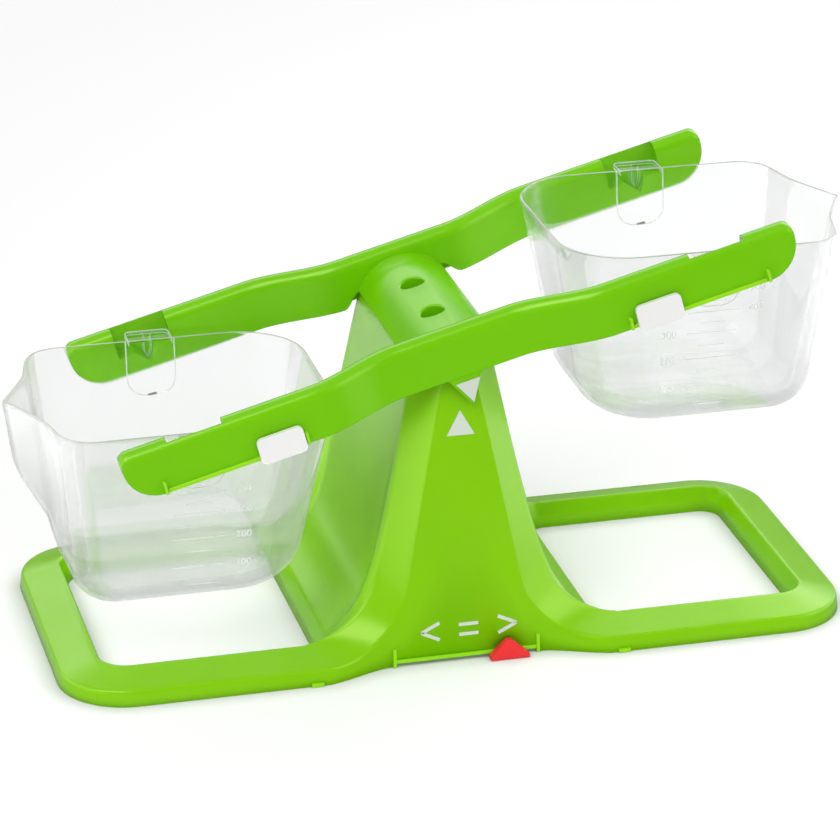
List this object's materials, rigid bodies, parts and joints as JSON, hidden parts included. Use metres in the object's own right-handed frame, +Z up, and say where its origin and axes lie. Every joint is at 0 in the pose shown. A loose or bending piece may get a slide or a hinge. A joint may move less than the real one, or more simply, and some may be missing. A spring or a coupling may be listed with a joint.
{
  "type": "bucket balance",
  "caption": "Tilting bucket balance for classroom weighing: ring base with a tapered stand, rocking beam yoke, clear pouring buckets and sliding pointers.",
  "frame": {"origin": "middle of the ring base, on the surface that the balance stands on", "axes": "+X along the beams towards the raised right bucket, +Y from the front panel to the back, +Z up"},
  "size_m": [0.3516, 0.149, 0.1751],
  "materials": {
    "green_plastic": "glossy yellow-green moulded plastic",
    "clear_plastic": "clear moulded plastic, glossy, thin grey edges",
    "white_plastic": "smooth white moulded plastic",
    "red_plastic": "smooth red moulded plastic"
  },
  "bodies": {
    "base": {"base_stand": "green_plastic"},
    "yoke": {"beam_yoke": "green_plastic"},
    "left_bucket": {"bucket_left": "clear_plastic"},
    "right_bucket": {"bucket_right": "clear_plastic"},
    "left_slider": {"slider_left": "white_plastic"},
    "right_slider": {"slider_right": "white_plastic"},
    "red_slider": {"comparison_slider": "red_plastic"}
  },
  "joints": [
    {"name": "beam_tilt", "type": "hinge", "parent": "base", "child": "yoke", "pos_m": [0, 0, 0.1244], "axis": [0, 1, 0], "range_deg": [0, 30]},
    {"name": "bucket_left_swing", "type": "hinge", "parent": "yoke", "child": "left_bucket", "pos_m": [-0.10546, 0, 0.0949], "axis": [0, 1, 0], "range_deg": [-30, 0]},
    {"name": "bucket_right_swing", "type": "hinge", "parent": "yoke", "child": "right_bucket", "pos_m": [0.10608, 0, 0.15158], "axis": [0, 1, 0], "range_deg": [-30, 0]},
    {"name": "slider_left_slide", "type": "slide", "parent": "yoke", "child": "left_slider", "axis": [-0.9659, 0, -0.2588], "range_m": [-0.0001, 0.0374]},
    {"name": "slider_right_slide", "type": "slide", "parent": "yoke", "child": "right_slider", "axis": [0.9659, 0, 0.2588], "range_m": [-0.0016, 0.0359]},
    {"name": "comparison_slide", "type": "slide", "parent": "base", "child": "red_slider", "axis": [1, 0, 0], "range_m": [-0.038, 0.0036]}
  ],
  "couplings": [
    {"joint": "bucket_left_swing", "follows": "beam_tilt", "ratio": -1},
    {"joint": "bucket_right_swing", "follows": "beam_tilt", "ratio": -1}
  ]
}
